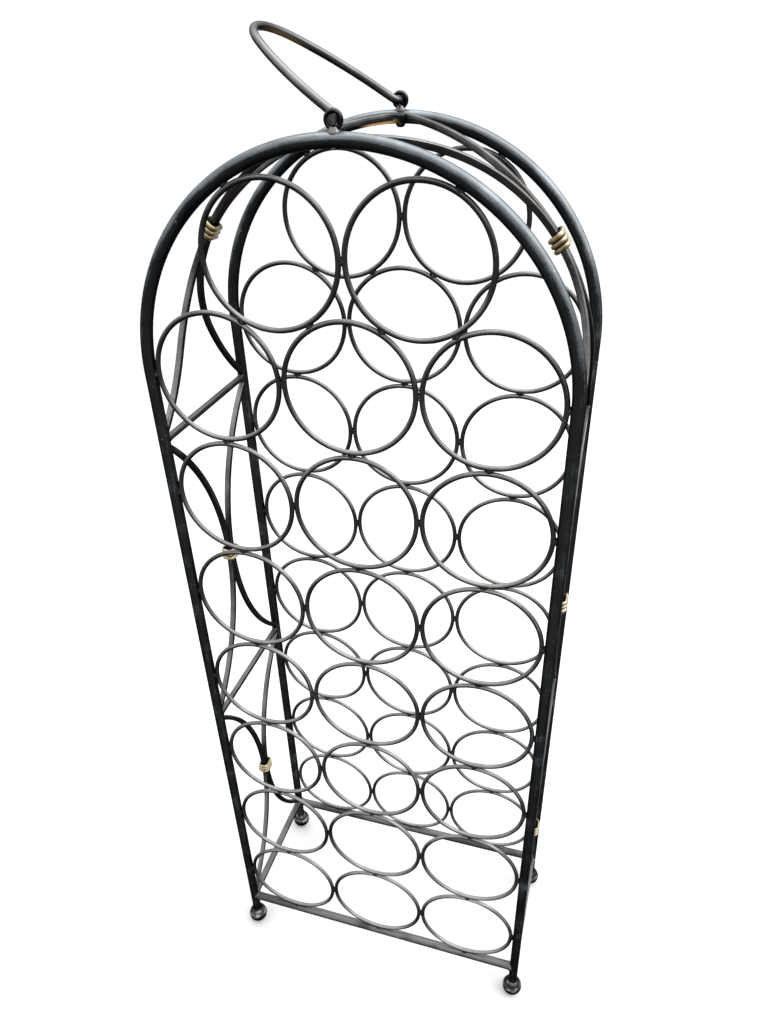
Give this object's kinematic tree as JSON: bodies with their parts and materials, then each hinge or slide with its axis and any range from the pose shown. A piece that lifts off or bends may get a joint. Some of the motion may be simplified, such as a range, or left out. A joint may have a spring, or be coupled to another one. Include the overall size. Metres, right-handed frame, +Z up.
{
  "type": "wine rack",
  "caption": "Arched wrought-iron wine rack with welded bottle rings between two frames, bowed side bars bound with brass wire, ball feet and a swinging bail handle.",
  "frame": {"origin": "on the floor, midway between the four feet, which is the bottom centre of the bounding box with the handle in its rest pose", "axes": "+Z up; +Y from the front frame to the rear frame; +X to the right of someone facing the front frame"},
  "size_m": [0.3368, 0.164, 0.9341],
  "materials": {
    "frame_iron": "graphite lacquer, worn bright on the upper faces",
    "rail_iron": "graphite lacquer, rubbed",
    "ring_wire": "graphite lacquer over round wire",
    "weld": "dark beads under lacquer",
    "side_bar": "pewter lacquer, brushed on the flats",
    "brass_wire": "aged, dull gold",
    "foot": "hammered and rubbed bright",
    "eye": "dark with a rubbed collar",
    "handle_rod": "satin grey"
  },
  "bodies": {
    "rack_frame": {"front_arched_frame": "frame_iron", "rear_arched_frame": "frame_iron", "front_bottom_rail": "rail_iron", "rear_bottom_rail": "rail_iron", "front_rings_row_1": "ring_wire", "front_rings_row_2": "ring_wire", "front_rings_row_3": "ring_wire", "front_rings_row_4": "ring_wire", "front_rings_row_5": "ring_wire", "front_rings_row_6": "ring_wire", "front_rings_row_7": "ring_wire", "front_rings_row_8": "ring_wire", "rear_rings_row_1": "ring_wire", "rear_rings_row_2": "ring_wire", "rear_rings_row_3": "ring_wire", "rear_rings_row_4": "ring_wire", "rear_rings_row_5": "ring_wire", "rear_rings_row_6": "ring_wire", "rear_rings_row_7": "ring_wire", "rear_rings_row_8": "ring_wire", "front_ring_welds": "weld", "rear_ring_welds": "weld", "front_frame_welds": "weld", "rear_frame_welds": "weld", "lower_cross_bar_left": "side_bar", "lower_cross_bar_right": "side_bar", "middle_cross_bar_left": "side_bar", "middle_cross_bar_right": "side_bar", "bottom_tie_bar_left": "side_bar", "bottom_tie_bar_right": "side_bar", "lower_front_bowed_bar_left": "side_bar", "lower_front_bowed_bar_right": "side_bar", "lower_rear_bowed_bar_left": "side_bar", "lower_rear_bowed_bar_right": "side_bar", "middle_front_bowed_bar_left": "side_bar", "middle_front_bowed_bar_right": "side_bar", "middle_rear_bowed_bar_left": "side_bar", "middle_rear_bowed_bar_right": "side_bar", "upper_front_bowed_bar_left": "side_bar", "upper_front_bowed_bar_right": "side_bar", "upper_rear_bowed_bar_left": "side_bar", "upper_rear_bowed_bar_right": "side_bar", "lower_brass_binding_left": "brass_wire", "lower_brass_binding_right": "brass_wire", "middle_brass_binding_left": "brass_wire", "middle_brass_binding_right": "brass_wire", "upper_brass_binding_left": "brass_wire", "upper_brass_binding_right": "brass_wire", "front_left_ball_foot": "foot", "front_right_ball_foot": "foot", "rear_left_ball_foot": "foot", "rear_right_ball_foot": "foot", "front_handle_eye": "eye", "rear_handle_eye": "eye"},
    "handle": {"bail_handle": "handle_rod"}
  },
  "joints": [
    {"name": "bail_swing", "type": "hinge", "parent": "rack_frame", "child": "handle", "pos_m": [0, 0, 0.8834], "axis": [0, 1, 0], "range_deg": [-50, 164]}
  ]
}
